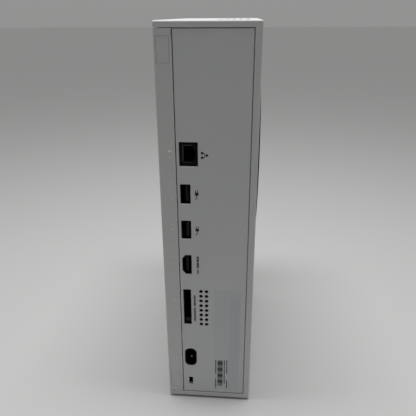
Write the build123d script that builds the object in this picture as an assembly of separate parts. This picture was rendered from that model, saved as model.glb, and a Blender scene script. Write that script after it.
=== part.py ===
from build123d import *

import math
import os

# A compact white game console standing on its short end, with every piece as its own solid.
# +Z is up, the front with the buttons faces -Y, the rear with the sockets faces +Y, the round
# grille is on the -X side and the removable base is on the +X side. The origin is on the
# surface that the console stands on, under the middle of its overall box. All in millimetres.

# ---- overall sizes -------------------------------------------------------------------------
total_height = 275.0
total_depth = 151.0
total_width = 65.0
grille_rise = 2.5
side_foot_height = 0.5
end_foot_height = 1.4

front_y = -total_depth / 2
rear_y = total_depth / 2
base_x = total_width / 2 - side_foot_height
cover_x = -total_width / 2 + grille_rise
bottom_z = end_foot_height
top_z = total_height

# ---- casing --------------------------------------------------------------------------------
wall = 2.5
rim = 4.2
top_rim = 3.7
seam = 0.5
corner = 0.9
strip = 10.7
panel_thickness = 2.2
panel_inset = 0.2
lip_depth = 7.0
ledge = 1.5
touch = 0.1

# ---- grille and fan ------------------------------------------------------------------------
fan_z = 188.0
grille_radius = 64.0
grille_hole = 1.8
grille_pitch = 4.8
grille_edge_rise = 1.1
grille_facets = 36
grille_bands = (63.4, 50.0, 36.0, 22.0, 9.0)
fan_ring_radius = 61.5

# ---- sockets on the rear: centre height and size along z, centre depth from the base --------
socket_edge = 13.0
usb_opening = (6.7, 13.4)
usb_shell = (6.3, 13.1, 14.0)
usb_upper_z = 171.7
usb_lower_z = 146.25
ethernet_opening = (11.8, 15.6)
ethernet_z = 198.1
video_opening = (6.5, 15.0)
video_z = 119.7
expansion_opening = (5.6, 29.8)
expansion_z = 84.7
inlet_opening = (9.0, 16.4)
inlet_z = 39.4
lock_opening = (3.1, 6.8)
lock_z = 16.6
lock_from_base = 17.05
inlet_from_base = 17.3

vent_pitch = 4.0
vent_radius = 1.3
vent_rows = 8
vent_first_z = 70.25
vent_web = 0.9
vent_columns = (25.6, 29.5)
tactile_from_base = 7.2
tactile_radius = 0.75
label_size = (18.6, 90.4)
label_from_base = 44.6
label_z = 54.4
label_thickness = 0.12

# ---- circuit board level -------------------------------------------------------------------
board_low = 11.0
board_high = 12.6
board_y = (-58.0, 71.0)
board_z = (66.0, 260.0)

# ---- front controls ------------------------------------------------------------------------
power_button_x = -13.5
power_button_z = 257.5
power_button_radius = 7.5
pair_button_from_base = 16.35
pair_button_z = 50.0
pair_button_radius = 2.6
front_usb_z = 30.5
button_gap = 0.25
proud = 0.45
button_board_y = -66.0

# ---- levels inside the casing, as distances in from the base's outer face -------------------
fan_floor = 37.2
fan_deck = 39.4
fan_top = 57.0
motor_levels = (41.0, 51.0)
hub_levels = (42.0, 56.0)
cooler_levels = (14.6, 18.1)
fin_levels = (18.1, 19.7, 36.8)
spring_levels = (9.4, 10.4)
upper_shield_level = 16.6
lower_shield_level = 5.0
shield_sheet = 0.7

# ---- screws --------------------------------------------------------------------------------
screw_radius = 1.45
screw_head_radius = 2.7
screw_head_height = 1.8
screw_cover_size = (7.4, 14.6)
screw_cover_depth = 0.6
screw_cover_from_base = 5.4
screw_cover_heights = (259.6, 17.6)
post_radius = 3.2
post_points = ((-66.0, 240.0), (66.0, 263.0), (-66.0, 100.0), (66.0, 108.5))


def from_base(distance):
    """The x position at this distance in from the base's outer face."""
    return base_x - distance


def block(x, y, z):
    """A box from its (low, high) spans along each axis, in either order."""
    spans = [sorted(span) for span in (x, y, z)]
    middle = [(low + high) / 2 for low, high in spans]
    return Pos(*middle) * Box(*[high - low for low, high in spans])


def along_x(profile, x_from, x_to):
    """Extrudes a profile drawn in y and z between two x positions."""
    low, high = sorted((x_from, x_to))
    plane = Plane(origin=(low, 0, 0), x_dir=(0, 1, 0), z_dir=(1, 0, 0))
    return extrude(plane * profile, amount=high - low)


def along_y(profile, y_from, y_to):
    """Extrudes a profile drawn in x and z between two y positions."""
    low, high = sorted((y_from, y_to))
    plane = Plane(origin=(0, high, 0), x_dir=(1, 0, 0), z_dir=(0, -1, 0))
    return extrude(plane * profile, amount=high - low)


def along_z(profile, z_from, z_to):
    """Extrudes a profile drawn in x and y between two z positions."""
    low, high = sorted((z_from, z_to))
    return extrude(Plane.XY.offset(low) * profile, amount=high - low)


def rod_x(y, z, radius, x_from, x_to):
    return along_x(Pos(y, z) * Circle(radius), x_from, x_to)


def rod_y(x, z, radius, y_from, y_to):
    return along_y(Pos(x, z) * Circle(radius), y_from, y_to)


def rod_z(x, y, radius, z_from, z_to):
    return along_z(Pos(x, y) * Circle(radius), z_from, z_to)


def socket_profile(opening, height, shape="square", grow=0.0):
    """The outline, in x and z, of a rear or front opening whose base side is at socket_edge."""
    width, length = opening
    x = from_base(socket_edge + width / 2)
    width, length = width + 2 * grow, length + 2 * grow
    if shape == "tapered":
        half, wide, cut_x, cut_z = length / 2, width / 2, 2.2, 2.8
        points = [
            (wide - cut_x, half),
            (wide, half - cut_z),
            (wide, -half + cut_z),
            (wide - cut_x, -half),
            (-wide, -half),
            (-wide, half),
        ]
        outline = make_face(Polyline(*points, close=True))
        return Pos(x, height) * fillet(outline.vertices(), 0.4)
    return Pos(x, height) * RectangleRounded(width, length, 0.35)


def inlet_profile(grow=0.0):
    width, length = inlet_opening
    x = from_base(inlet_from_base)
    return Pos(x, inlet_z) * RectangleRounded(
        width + 2 * grow, length + 2 * grow, width / 2 + grow - 0.35
    )


# ---- casing --------------------------------------------------------------------------------
def top_vents():
    """The round holes in a grid through the top end, near the rear."""
    columns, rows, pitch, radius = 5, 15, 4.2, 1.4
    places = [
        (from_base(36.5 + column * pitch), rear_y - 9.5 - row * pitch)
        for column in range(columns)
        for row in range(rows)
    ]
    return [rod_z(x, y, radius, top_z - wall - 1, top_z + 1) for x, y in places]


def cover_shell():
    """The main cover: the grille side, both ends and the front wall, open at rear and base."""
    shell = fillet(
        block((cover_x, base_x), (front_y, rear_y), (bottom_z, top_z)).edges(), corner
    )
    inner_z = (bottom_z + wall, top_z - wall)
    mouth_z = (bottom_z + rim, top_z - top_rim)
    ledge_z = (mouth_z[0] + ledge, mouth_z[1] - ledge)
    strip_x = from_base(strip + seam)
    panel_back = rear_y - panel_inset - panel_thickness
    shell -= block(
        (cover_x + wall, strip_x), (front_y + wall, rear_y - lip_depth), inner_z
    )
    shell -= block((cover_x + rim + ledge, strip_x), (front_y + wall, rear_y), ledge_z)
    shell -= block((cover_x + rim, strip_x), (panel_back, rear_y + 5), mouth_z)
    shell -= block((strip_x, base_x + 5), (front_y - 5, rear_y + 5), mouth_z)

    shell -= rod_x(0, fan_z, grille_radius + 0.25, cover_x - 1, cover_x + wall + 1)
    shell -= top_vents()

    shell -= rod_y(
        power_button_x,
        power_button_z,
        power_button_radius + button_gap,
        front_y - 1,
        front_y + wall + 1,
    )
    shell -= rod_y(
        from_base(pair_button_from_base),
        pair_button_z,
        pair_button_radius + button_gap,
        front_y - 1,
        front_y + wall + 1,
    )
    shell -= along_y(
        socket_profile(usb_opening, front_usb_z), front_y - 1, front_y + wall + 1
    )

    for y, z in post_points:
        shell += rod_x(y, z, post_radius, cover_x + wall - 1, from_base(16.7))
        shell += block(
            (cover_x + wall - 1, from_base(30.0)),
            (y, y + math.copysign(8.0 if y < 0 else 4.0, y)),
            (z - 0.8, z + 0.8),
        )
        shell -= rod_x(y, z, 1.25, from_base(28.0), from_base(16.0))

    for height, end in zip(screw_cover_heights, (mouth_z[1], mouth_z[0])):
        anchor = block(
            (from_base(2.9), from_base(9.0)), (58.0, 65.9), (height - 3.2, end)
        )
        if end < height:
            anchor = block(
                (from_base(2.9), from_base(9.0)), (58.0, 65.9), (end, height + 3.2)
            )
        anchor -= rod_y(
            from_base(screw_cover_from_base), height, screw_radius - 0.15, 57, 67
        )
        shell += anchor

    for x, y in end_foot_points():
        shell -= end_foot_recess(x, y)
    return shell


def end_foot_points():
    return [(x, y) for x in (-21.0, 21.0) for y in (-62.0, 62.0)]


def end_foot_recess(x, y):
    return rod_z(x, y, 5.1, bottom_z - 1, bottom_z + 0.8)


def side_foot_points():
    return [(y, z) for y in (-58.0, 58.0) for z in (24.0, 252.0)]


def tactile_marks():
    """Raised dots and bars on the rear strip, so that each socket can be told by touch."""
    rows = (
        [(usb_upper_z + step, "dot") for step in (3.5, 0.0, -3.5)]
        + [(usb_lower_z + step, "dot") for step in (3.5, 0.0, -3.5)]
        + [(ethernet_z + step, "bar") for step in (1.9, -1.7)]
        + [(video_z + 1.0, "dot"), (inlet_z, "dot")]
        + [(expansion_z + step, "dot") for step in (5.1, 1.7, -1.7, -5.1)]
    )
    x, y = from_base(tactile_from_base), rear_y + proud - tactile_radius
    marks = []
    for height, kind in rows:
        if kind == "dot":
            mark = Sphere(tactile_radius)
        else:
            bar = Rot(0, 90, 0) * Cylinder(tactile_radius, 2.2)
            mark = fillet(bar.edges(), 0.4)
        marks.append(Pos(x, y, height) * mark)
    return marks


def base_shell():
    """The base: the large side opposite the grille, with a return along the front and rear."""
    z_span = (bottom_z + rim + seam * 0.8, top_z - top_rim - seam * 0.8)
    x_span = (base_x, from_base(strip))
    solid = block(x_span, (front_y, rear_y), z_span)
    outer = solid.edges().filter_by(Axis.Z).group_by(Axis.X)[-1]
    solid = fillet(outer, corner)
    shell = solid - block(
        (from_base(wall), from_base(strip + 5)),
        (front_y + wall, rear_y - wall),
        (z_span[0] + 2.0, z_span[1] - 2.0),
    )
    for height in screw_cover_heights:
        x = from_base(screw_cover_from_base)
        shell += block(
            (from_base(1.0), from_base(9.6)),
            (66.0, rear_y - wall),
            (height - 4.0, height + 4.0),
        )
        shell -= along_y(
            Pos(x, height)
            * Rectangle(screw_cover_size[0] + 0.3, screw_cover_size[1] + 0.3),
            rear_y - screw_cover_depth - 0.1,
            rear_y + 1,
        )
        shell -= rod_y(x, height, screw_head_radius + 0.3, 69.0, rear_y)
        shell -= rod_y(x, height, screw_radius + 0.2, 60.0, 70.0)
        shell -= block(
            (from_base(2.7), from_base(9.2)),
            (57.8, 66.0),
            (height, z_span[1] + 1 if height > fan_z else z_span[0] - 1),
        )
    for y, z in side_foot_points():
        shell -= rod_x(y, z, 6.1, base_x - 0.9, base_x + 1)
    notch = [(height, 3.0) for height in (z_span[1] - 2.6, z_span[0] + 3.0)]
    for height, length in notch:
        shell -= block(
            (from_base(strip - 0.5), from_base(strip + 1)),
            (rear_y - 1.6, rear_y + 1),
            (height - length / 2, height + length / 2),
        )
    for rib_y in (-45.0, -15.0, 15.0, 45.0):
        shell += block(
            (from_base(wall - 0.5), from_base(4.2)),
            (rib_y - 0.6, rib_y + 0.6),
            (z_span[0] + 1.0, z_span[1] - 1.0),
        )
    for mark in tactile_marks():
        shell += mark
    return shell


def rear_panel():
    """The inset plate that frames the sockets."""
    x_span = (from_base(strip + seam), cover_x + rim + seam)
    z_span = (bottom_z + rim + seam, top_z - top_rim - seam)
    face_y = rear_y - panel_inset
    back_y = face_y - panel_thickness
    plate = block(x_span, (back_y, face_y), z_span)
    plate = chamfer(plate.faces().sort_by(Axis.Y)[-1].edges(), 0.3)

    cuts = [
        socket_profile(ethernet_opening, ethernet_z),
        socket_profile(usb_opening, usb_upper_z),
        socket_profile(usb_opening, usb_lower_z),
        socket_profile(video_opening, video_z, "tapered"),
        socket_profile(expansion_opening, expansion_z),
        inlet_profile(),
        Pos(from_base(lock_from_base), lock_z) * RectangleRounded(*lock_opening, 0.4),
    ]
    cuts += [
        Pos(from_base(column), vent_first_z + row * vent_pitch) * Circle(vent_radius)
        for column in vent_columns
        for row in range(vent_rows)
    ]
    for cut in cuts:
        plate -= along_y(cut, back_y - 1, face_y + 1)
    vent_last_z = vent_first_z + (vent_rows - 1) * vent_pitch
    plate -= block(
        (from_base(vent_columns[0] - 2.2), from_base(vent_columns[1] + 2.2)),
        (back_y - 1, face_y - vent_web),
        (vent_first_z - 2.2, vent_last_z + 2.2),
    )
    for z in (57.0, 159.0, 232.0):
        inner_tab = block((from_base(9.6), from_base(13.0)), (71.3, 72.9), (z - 4, z + 4))
        root = block((x_span[0], from_base(13.0)), (72.5, back_y), (z - 4, z + 4))
        plate += inner_tab + root
    rims = [
        edge
        for face in plate.faces().sort_by(Axis.Y)[-1:]
        for wire in face.inner_wires()
        for edge in wire.edges()
    ]
    return chamfer(rims, 0.2)


def rating_label():
    """A thin plain sticker on the rear panel."""
    face_y = rear_y - panel_inset
    outline = Pos(from_base(label_from_base), label_z) * RectangleRounded(*label_size, 1.0)
    return along_y(outline, face_y, face_y + label_thickness)


def screw_cover(height):
    x = from_base(screw_cover_from_base)
    plate = along_y(
        Pos(x, height) * RectangleRounded(*screw_cover_size, 0.4),
        rear_y - screw_cover_depth - 0.05,
        rear_y - 0.08,
    )
    return chamfer(plate.faces().sort_by(Axis.Y)[-1].edges(), 0.15)


def side_feet():
    feet = [
        rod_x(y, z, 5.9, base_x - 0.85, base_x + side_foot_height)
        for y, z in side_foot_points()
    ]
    return [chamfer(foot.faces().sort_by(Axis.X)[-1].edges(), 0.35) for foot in feet]


def end_feet():
    feet = [rod_z(x, y, 4.9, 0, bottom_z + 0.75) for x, y in end_foot_points()]
    return [chamfer(foot.faces().sort_by(Axis.Z)[0].edges(), 0.35) for foot in feet]


# ---- grille and fan ------------------------------------------------------------------------
def grille_height(radius):
    """How far the dome stands out of the cover at this distance from its middle."""
    flat = grille_bands[-1]
    fall = (radius**2 - flat**2) / (grille_radius**2 - flat**2)
    return grille_rise - (grille_rise - grille_edge_rise) * fall


def grille_holes():
    """The places of the round holes: even rows, each shifted by half a pitch."""
    limit = grille_radius - 5.0
    row_pitch = grille_pitch * math.sqrt(3) / 2
    rows = int(limit / row_pitch) + 1
    columns = int(limit / grille_pitch) + 1
    places = []
    for row in range(-rows, rows + 1):
        shift = grille_pitch / 2 if row % 2 else 0.0
        for column in range(-columns, columns + 1):
            y, z = column * grille_pitch + shift, row * row_pitch
            if math.hypot(y, z) <= limit:
                places.append((y, fan_z + z))
    return places


def dome_ring(radius, height):
    """The corners of one ring of the dome, this far from its middle and out of the cover."""
    step = 2 * math.pi / grille_facets
    return [
        Vector(
            cover_x - height,
            radius * math.cos(number * step),
            fan_z + radius * math.sin(number * step),
        )
        for number in range(grille_facets)
    ]


def dome():
    """The dome is so shallow that it is built from rings of small flat facets."""
    rings = [dome_ring(grille_bands[0], 0.0)]
    rings += [dome_ring(radius, grille_height(radius)) for radius in grille_bands]
    faces = [Face(Wire.make_polygon(rings[0])), Face(Wire.make_polygon(rings[-1]))]
    for outer, inner in zip(rings, rings[1:]):
        for number in range(grille_facets):
            beside = (number + 1) % grille_facets
            corners = [outer[number], outer[beside], inner[beside], inner[number]]
            faces.append(Face(Wire.make_polygon(corners)))
    return Solid(Shell(faces))


def fan_grille():
    """The black domed disc with round holes in even rows, over the fan."""
    flange = cover_x + wall
    disc = rod_x(0, fan_z, grille_radius, cover_x - 0.5, flange) + dome()
    disc += rod_x(0, fan_z, grille_radius + 2.4, flange, flange + 1.4)
    disc -= rod_x(0, fan_z, grille_radius - 3.0, cover_x + 0.4, flange + 2)
    return disc - [
        rod_x(y, z, grille_hole, cover_x - 5, cover_x + 5) for y, z in grille_holes()
    ]


def fan_frame():
    """The fan's ring, with a spider that carries the motor."""
    floor, deck, top = from_base(fan_floor), from_base(fan_deck), from_base(fan_top)
    ring = rod_x(0, fan_z, fan_ring_radius, floor, top)
    ring -= rod_x(0, fan_z, fan_ring_radius - 2.0, floor + 1, top - 1)
    ring += rod_x(0, fan_z, 17.5, floor, deck)
    for angle in (45, 135, 225, 315):
        arm = block((floor, deck), (14.0, fan_ring_radius - 1.0), (-3.5, 3.5))
        ring += Pos(0, 0, fan_z) * Rot(angle, 0, 0) * arm
        ear = along_x(
            Pos(fan_ring_radius + 3.0, 0) * Circle(5.0)
            + Pos(fan_ring_radius, 0) * Rectangle(6.0, 10.0),
            floor,
            deck,
        )
        ear -= rod_x(0, 0, fan_ring_radius - 1.0, floor + 1, deck - 1)
        ear -= rod_x(fan_ring_radius + 3.5, 0, 1.7, floor + 1, deck - 1)
        ring += Pos(0, 0, fan_z) * Rot(angle, 0, 0) * ear
    return ring - rod_x(0, fan_z, 3.0, floor + 1, deck - 1)


def fan_motor():
    """The wound stator: a core with twelve copper coils round the bearing."""
    low, high = [from_base(level) for level in motor_levels]
    core = rod_x(0, fan_z, 5.6, from_base(fan_deck), high)
    for tooth in range(12):
        arm = block((low, high), (5.0, 12.0), (-0.9, 0.9))
        coil = block((low - 1.0, high + 1.0), (6.6, 10.6), (-1.25, 1.25))
        head = block((low, high), (11.4, 12.6), (-2.4, 2.4))
        turned = Pos(0, 0, fan_z) * Rot(tooth * 30, 0, 0)
        core += turned * (arm + coil + head)
    return core - rod_x(0, fan_z, 3.0, from_base(30), from_base(60))


def fan_bearing():
    bush = rod_x(0, fan_z, 3.0, from_base(fan_floor), from_base(52.5))
    return bush - rod_x(0, fan_z, 1.53, from_base(38.2), from_base(53.0))


def fan_blade():
    """One curved, pitched blade about the origin, with its span along +Y."""
    sections = []
    for radius, pitch, chord, camber in (
        (15.5, 42.0, 15.0, 2.2),
        (36.0, 33.0, 19.0, 2.6),
        (57.2, 26.0, 22.0, 2.4),
    ):
        half, thick = chord / 2, 0.75
        upper = ThreePointArc((-half, 0), (0, camber + thick), (half, 0.35))
        lower = ThreePointArc((half, -0.05), (0, camber - thick), (-half, -0.45))
        nose = Line((-half, -0.45), (-half, 0))
        tail = Line((half, 0.35), (half, -0.05))
        plane = Plane(
            origin=(0, radius, 0),
            x_dir=(math.sin(math.radians(pitch)), 0, math.cos(math.radians(pitch))),
            z_dir=(0, 1, 0),
        )
        sections.append(plane * make_face(upper + tail + lower + nose))
    return loft(sections)


def fan_rotor():
    """The hub cup with nine blades. It opens towards the motor."""
    back, crown = [from_base(level) for level in hub_levels]
    middle = (back + crown) / 2
    hub = fillet(
        rod_x(0, fan_z, 17.2, back, crown).edges().group_by(Axis.X)[0], 2.0
    )
    hub -= rod_x(0, fan_z, 15.6, back + 1, from_base(54.2))
    blades = 9
    for number in range(blades):
        turn = Pos(middle, 0, fan_z) * Rot(number * 360 / blades, 0, 0)
        hub += turn * fan_blade()
    hub -= rod_x(0, fan_z, 15.6, back + 10, from_base(54.2))
    hub += rod_x(0, fan_z, 3.2, from_base(53.2), from_base(54.3))
    return hub - rod_x(0, fan_z, 1.5, from_base(50.0), from_base(55.2))


def fan_shaft():
    return rod_x(0, fan_z, 1.5, from_base(38.6), from_base(55.2))


def rotor_magnet():
    ring = rod_x(0, fan_z, 15.6, from_base(42.4), from_base(53.6))
    return ring - rod_x(0, fan_z, 13.4, from_base(42.0), from_base(54.0))


# ---- cooler --------------------------------------------------------------------------------
def heat_sink_base():
    """The copper block on the processor, with threaded feet for the clamp screws."""
    low, high = [from_base(level) for level in cooler_levels]
    plate = block((low, high), (-30, 30), (fan_z - 30, fan_z + 30))
    plate = chamfer(plate.edges().filter_by(Axis.X), 3.0)
    for y, z in clamp_points():
        plate += rod_x(y, z, 2.6, from_base(12.7), from_base(14.7))
        plate -= rod_x(y, z, 1.2, from_base(12.0), from_base(17.0))
    return plate


def clamp_points():
    return [(y, fan_z + z) for y in (-25.0, 25.0) for z in (-25.0, 25.0)]


def heat_sink_fins():
    """A stack of thin fins on one sole plate, drawn as a comb and extruded."""
    low, sole, tips = [from_base(level) for level in fin_levels]
    z_low, z_high, pitch, thickness = fan_z - 54.0, fan_z + 54.0, 2.7, 0.5
    count = int((z_high - z_low) / pitch)
    comb = Pos((low + sole) / 2, fan_z) * Rectangle(low - sole, z_high - z_low)
    for number in range(count + 1):
        z = z_low + thickness / 2 + number * (z_high - z_low - thickness) / count
        comb += Pos((sole + tips) / 2, z) * Rectangle(sole - tips, thickness)
    return along_y(comb, -54.0, 46.0)


def clamp_spring():
    """A four-armed leaf spring under the board that pulls the cooler down."""
    sheet = [from_base(level) for level in spring_levels]
    reach = 25.0 * math.sqrt(2)
    plate = block(sheet, (-7, 7), (fan_z - 7, fan_z + 7))
    for angle in (45, 135, 225, 315):
        arm = block(sheet, (0, reach), (-3.5, 3.5)) + rod_x(reach, 0, 4.4, *sheet)
        plate += Pos(0, 0, fan_z) * Rot(angle, 0, 0) * arm
    plate += block((sheet[1], from_base(board_low)), (-6, 6), (fan_z - 6, fan_z + 6))
    for y, z in clamp_points():
        plate -= rod_x(y, z, 1.7, from_base(9.0), from_base(11.5))
    return plate


def screw_x(y, z, head_at, tip_at, radius=screw_radius):
    """A pan-head screw along x with a cross recess, from its head's outer face to its tip."""
    way = math.copysign(1, tip_at - head_at)
    neck = head_at + way * screw_head_height
    head = rod_x(y, z, screw_head_radius, head_at, neck)
    head = fillet(head.edges().sort_by(Axis.X, reverse=way < 0)[0], 0.7)
    shank = rod_x(y, z, radius, neck, tip_at)
    cross = Rectangle(2.4, 0.6) + Rectangle(0.6, 2.4)
    return head + shank - along_x(Pos(y, z) * cross, head_at - way, head_at + way)


def clamp_screws():
    """Four screws from the leaf spring through the board into the copper block."""
    return [
        screw_x(y, z, from_base(7.6), from_base(15.5), radius=1.2)
        for y, z in clamp_points()
    ]


# ---- boards --------------------------------------------------------------------------------
def main_board():
    """The main board, parallel to the large sides, notched at its corners."""
    outline = Pos(sum(board_y) / 2, sum(board_z) / 2) * RectangleRounded(
        board_y[1] - board_y[0], board_z[1] - board_z[0], 2.0
    )
    board = along_x(outline, from_base(board_low), from_base(board_high))
    for y, z in clamp_points() + list(board_screw_points()):
        board -= rod_x(y, z, 1.8, from_base(10.0), from_base(14.0))
    board -= rod_x(*post_points[3], 3.4, from_base(10.0), from_base(14.0))
    board -= block((base_x, cover_x), (60.5, 80.0), (253.5, 280.0))
    board -= block((base_x, cover_x), (-80.0, -50.0), (212.0, 236.0))
    return board


def board_screw_points():
    return ((-52.0, 72.0), (45.5, 122.0), (-52.0, 254.0), (45.5, 250.0))


def chip(y, z, size_y, size_z, height, level=board_high, edge=0.25):
    """A rectangular component standing on the board, rising away from the base."""
    body = block(
        (from_base(level), from_base(level + height)),
        (y - size_y / 2, y + size_y / 2),
        (z - size_z / 2, z + size_z / 2),
    )
    return chamfer(body.faces().sort_by(Axis.X)[0].edges(), edge)


def processor():
    """The package: a green carrier with the bare chip on it."""
    carrier = chip(0, fan_z, 42.0, 42.0, 1.2)
    return carrier + chip(0, fan_z, 20.0, 18.0, 0.8, level=board_high + 1.2, edge=0.1)


def memory_chips():
    places = [(-33.0, 200.0), (-33.0, 182.0), (33.0, 200.0), (33.0, 182.0), (0, 150.0)]
    return [chip(y, z, 12.0, 14.0, 1.2) for y, z in places]


def voltage_coils():
    """Power chokes in two rows above the processor."""
    rows = [(y, 234.0) for y in (-30.0, -20.0, -10.0, 0.0, 10.0, 20.0)]
    rows += [(y, 222.5) for y in (-15.0, -5.0, 5.0, 15.0)]
    return [chip(y, z, 8.0, 8.0, 2.6, edge=0.6) for y, z in rows]


def board_capacitors():
    """Small round capacitors near the power entry and behind the sockets."""
    places = [(y, 78.0) for y in (-40.0, -30.0, -20.0, -10.0)]
    places += [(44.0, z) for z in (172.0, 160.0, 148.0, 136.0)]
    cans = []
    for y, z in places:
        can = rod_x(y, z, 2.0, from_base(board_high), from_base(board_high + 2.8))
        cans.append(fillet(can.edges().sort_by(Axis.X)[0], 0.4))
    return cans


def battery_holder():
    y, z = -38.0, 118.0
    holder = rod_x(y, z, 12.0, from_base(board_high), from_base(14.6))
    holder -= rod_x(y, z, 10.2, from_base(board_high + 0.4), from_base(16.0))
    return holder - block((from_base(13.2), from_base(16)), (y - 4, y + 4), (z, z + 15))


def clock_battery():
    cell = rod_x(-38.0, 118.0, 10.0, from_base(13.0), from_base(15.2))
    return chamfer(cell.edges().sort_by(Axis.X)[0], 0.4)


def ssd_module():
    """The short solid-state drive under the board, with its socket."""
    y, z = 20.0, 110.0
    card = block((from_base(8.2), from_base(9.0)), (y - 11, y + 11), (z - 15, z + 15))
    chips = block((from_base(7.2), from_base(8.2)), (y - 8, y + 8), (z - 11, z + 4))
    chips += block((from_base(7.2), from_base(8.2)), (y - 5, y + 5), (z + 6, z + 12))
    socket = block((from_base(7.6), from_base(11)), (y - 11, y + 11), (z + 15, z + 21))
    post = rod_x(y, z - 13, 2.6, from_base(9.0), from_base(11.0))
    return card + chips + socket + post


def wireless_card():
    """The radio module in its metal can, at the front edge of the board."""
    y, z = -44.0, 150.0
    card = block((from_base(12.6), from_base(13.6)), (y - 11, y + 11), (z - 13, z + 13))
    can = chip(y, z, 18.0, 20.0, 1.6, level=13.6, edge=0.3)
    return card + can


def antennas():
    """Two stamped antennas behind the front wall."""
    parts = []
    for z in (124.0, 216.0):
        strip_y = (front_y + wall + 1.0, front_y + wall + 1.5)
        parts.append(
            block((from_base(20), from_base(32)), strip_y, (z - 16, z + 16))
            - block((from_base(23), from_base(29)), (-80, 0), (z - 11, z + 8))
            - block((from_base(25), from_base(33)), (-80, 0), (z + 10, z + 12))
        )
    return parts


def tray(x_floor, x_mouth, y, z, thickness, radius=2.0):
    """A shallow sheet-metal tray: a floor at x_floor with walls that reach to x_mouth."""
    way = math.copysign(1, x_mouth - x_floor)
    centre = Pos((y[0] + y[1]) / 2, (z[0] + z[1]) / 2)
    size = (y[1] - y[0], z[1] - z[0])
    outer = along_x(centre * RectangleRounded(*size, radius), x_floor, x_mouth)
    inner = centre * RectangleRounded(
        size[0] - 2 * thickness, size[1] - 2 * thickness, radius - thickness / 2
    )
    return outer - along_x(inner, x_floor + way * thickness, x_mouth + way)


def upper_shield():
    """The pressed steel cover over the board, open round the cooler, with four lugs."""
    sheet = shield_sheet
    floor = from_base(upper_shield_level)
    shield = tray(floor, from_base(board_high), (-57.0, 50.0), (67.0, 259.0), sheet)
    shield -= block((cover_x, floor + 2), (-36, 36), (fan_z - 36, fan_z + 50))
    shield -= block((cover_x, base_x), (-62, -55), (150 - 15, 150 + 15))
    shield -= block((cover_x, base_x), (24.0, 60.0), (66.0, 106.0))
    lug_sheet = (floor, floor + sheet)
    for y, z in post_points:
        edge = math.copysign(49.0 if y > 0 else 56.0, y)
        lug_z = min(max(z, 68.0), 258.0)
        lug = block(lug_sheet, (edge, y), (lug_z - 3.3, z + 3.3))
        lug += rod_x(y, z, post_radius + 0.2, *lug_sheet)
        shield += lug - rod_x(y, z, 1.7, floor - 1, floor + 2)
    for y, z in board_screw_points():
        shield += rod_x(y, z, 3.3, floor + sheet / 2, from_base(board_high))
        shield -= rod_x(y, z, screw_radius, floor - 1, from_base(board_high - 1))
    return shield - [
        rod_x(-12.0 + column * 5.0, 72.0 + row * 5.0, 1.5, floor - 1, floor + 2)
        for row in range(9)
        for column in range(6)
    ]


def lower_shield():
    """The steel plate between the base and the board."""
    floor, mouth = from_base(lower_shield_level), from_base(board_low)
    shield = tray(floor, mouth, (-57.0, 50.0), (67.0, 259.0), shield_sheet)
    shield -= block((from_base(7.0), from_base(13.0)), (40.0, 60.0), (66.0, 104.0))
    ribs = Sketch()
    for z in range(80, 250, 12):
        ribs += Pos(-40.0, z) * SlotOverall(18.0, 4.0)
    return shield - along_x(ribs, floor - 1, floor + 1)


def board_screws():
    """Screws that hold the board to the upper shield and the shield to the cover's posts."""
    lower = from_base(board_low) + screw_head_height
    screws = [
        screw_x(y, z, lower, from_base(14.0)) for y, z in board_screw_points()
    ]
    upper = from_base(15.9) + screw_head_height
    screws += [
        screw_x(y, z, upper, from_base(25.0), radius=1.25) for y, z in post_points
    ]
    return screws


# ---- sockets -------------------------------------------------------------------------------
connector_face = rear_y - panel_inset - panel_thickness - touch
socket_face = rear_y - panel_inset - 0.5


def rear_y_of(depth):
    """The y position this far behind the face of the rear sockets."""
    return connector_face - depth


def usb_port(height, front=False):
    """The stamped shell and the contact tongue of an upright USB-A socket."""
    thick, length, depth = usb_shell
    x = from_base(socket_edge + usb_opening[0] / 2)
    centre = Pos(x, height)
    shell_wall = 0.5
    shell = along_y(centre * RectangleRounded(thick, length, 0.5), 0, depth)
    shell -= along_y(
        centre * RectangleRounded(thick - 2 * shell_wall, length - 2 * shell_wall, 0.3),
        -1,
        depth - shell_wall,
    )
    for z in (height - 3.2, height + 3.2):
        for side in (-1, 1):
            shell -= block(
                (x + side * (thick / 2 - 1), x + side * (thick / 2 + 1)),
                (3.0, 8.0),
                (z - 1.1, z + 1.1),
            )
    heel = along_y(
        centre * RectangleRounded(thick - 1.02, length - 1.02, 0.3), depth - 3.5, depth - 0.5
    )
    blade_x = x - 0.95
    tongue = heel + block(
        (blade_x - 0.9, blade_x + 0.9), (1.0, depth - 3.0), (height - 5.5, height + 5.5)
    )
    for step in (-3.5, -1.0, 1.0, 3.5):
        tongue += block(
            (blade_x + 0.8, blade_x + 1.0),
            (1.8, depth - 3.6),
            (height + step - 0.5, height + step + 0.5),
        )
    feet = [
        block(
            (x + thick / 2 - 0.3, from_base(board_high)),
            (y, y + 1.6),
            (height + side * 5.9 - 0.6, height + side * 5.9 + 0.6),
        )
        for y in (3.0, 10.0)
        for side in (-1, 1)
    ]
    for foot in feet:
        shell += foot
    if front:
        place = Pos(0, front_y + 0.5, 0)
        return place * shell, place * tongue
    place = Pos(0, socket_face, 0)
    return place * mirror(shell, Plane.XZ), place * mirror(tongue, Plane.XZ)


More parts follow.
